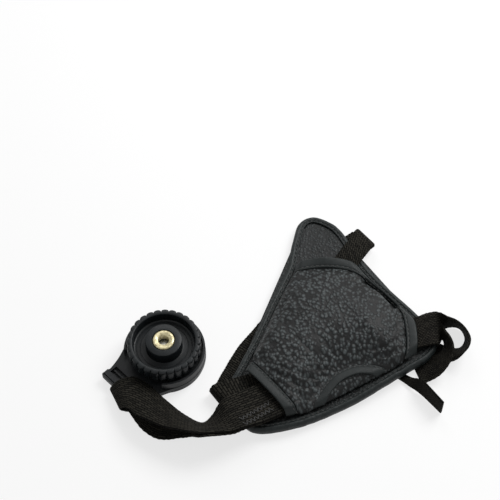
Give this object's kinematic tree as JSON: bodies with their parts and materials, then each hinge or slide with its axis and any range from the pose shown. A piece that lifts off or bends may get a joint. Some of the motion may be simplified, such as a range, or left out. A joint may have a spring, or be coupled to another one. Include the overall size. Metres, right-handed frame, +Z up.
{
  "type": "camera hand grip strap",
  "caption": "Padded leather hand strap for a camera, with webbing loops and a base plate held by a captive thumb-wheel screw.",
  "frame": {"origin": "centre of the strap's box in X and Y, on the table", "axes": "+X from the base plate towards the narrow loops, +Y towards the pad's top corner, +Z up from the table"},
  "size_m": [0.1846, 0.1348, 0.0188],
  "materials": {
    "abs_black": "moulded ABS, satin",
    "rubber_black": "matt",
    "screw_steel": "bright zinc",
    "wheel_black": "moulded, slight sheen",
    "insert_brass": "pale nickel brass",
    "stud_steel": "turned",
    "lining_cloth": "brushed lining",
    "foam_grey": "closed-cell foam",
    "face_leather": "pebbled, semi-gloss",
    "binding_leather": "smooth, semi-gloss",
    "trim_leather": "smooth, stitched",
    "webbing_black": "ribbed woven webbing"
  },
  "bodies": {
    "strap": {"base_plate": "abs_black", "rubber_pad": "rubber_black", "back_lining": "lining_cloth", "foam_core": "foam_grey", "pad_face": "face_leather", "edge_binding": "binding_leather", "palm_panel": "face_leather", "upper_trim": "trim_leather", "arch_trim": "trim_leather", "lower_trim": "trim_leather", "side_tab": "webbing_black", "plate_strap": "webbing_black", "top_strap": "webbing_black", "outer_loop_strap": "webbing_black", "inner_loop_strap": "webbing_black", "strap_tail": "webbing_black"},
    "screw_lift": {"retaining_clip": "screw_steel"},
    "screw": {"thumb_wheel": "wheel_black", "threaded_insert": "insert_brass", "tripod_stud": "stud_steel"}
  },
  "joints": [
    {"name": "screw_float", "type": "slide", "parent": "strap", "child": "screw_lift", "axis": [0, 0, -1], "range_m": [0, 0.0045]},
    {"name": "wheel_spin", "type": "hinge", "parent": "screw_lift", "child": "screw", "pos_m": [-0.06135, -0.01561, 0], "axis": [0, 0, 1], "continuous": true}
  ]
}
